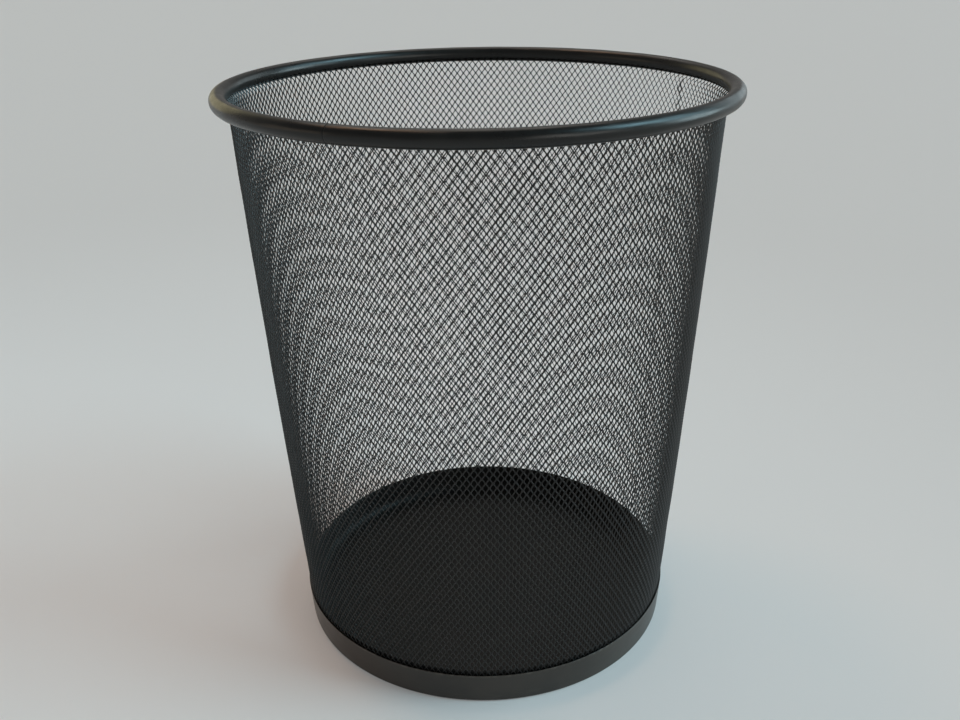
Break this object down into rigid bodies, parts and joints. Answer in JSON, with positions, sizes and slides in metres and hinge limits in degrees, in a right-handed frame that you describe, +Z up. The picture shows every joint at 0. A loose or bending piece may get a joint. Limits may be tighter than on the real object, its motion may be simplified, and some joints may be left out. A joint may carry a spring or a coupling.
{
  "type": "wastebasket",
  "caption": "Round tapered steel-mesh office wastebasket, open at the top, with a rolled tubular rim, a pressed solid floor and a smooth band round the foot.",
  "frame": {"origin": "on the floor, at the centre of the flat ring that the basket stands on", "axes": "+Z up along the basket's axis towards the open top; +X and +Y are horizontal, with -Y towards the side the picture shows and the wall's lap seam at the right rear, between +X and +Y"},
  "size_m": [0.295, 0.295, 0.342],
  "materials": {
    "mesh_coat": "black powder coat on expanded steel sheet, satin",
    "rim_coat": "black powder coat on rolled steel tube, semi-gloss",
    "base_coat": "black powder coat on pressed sheet steel, satin"
  },
  "bodies": {
    "root": {"mesh_wall": "mesh_coat", "rim": "rim_coat", "base_pan": "base_coat", "base_band": "base_coat"}
  },
  "joints": []
}
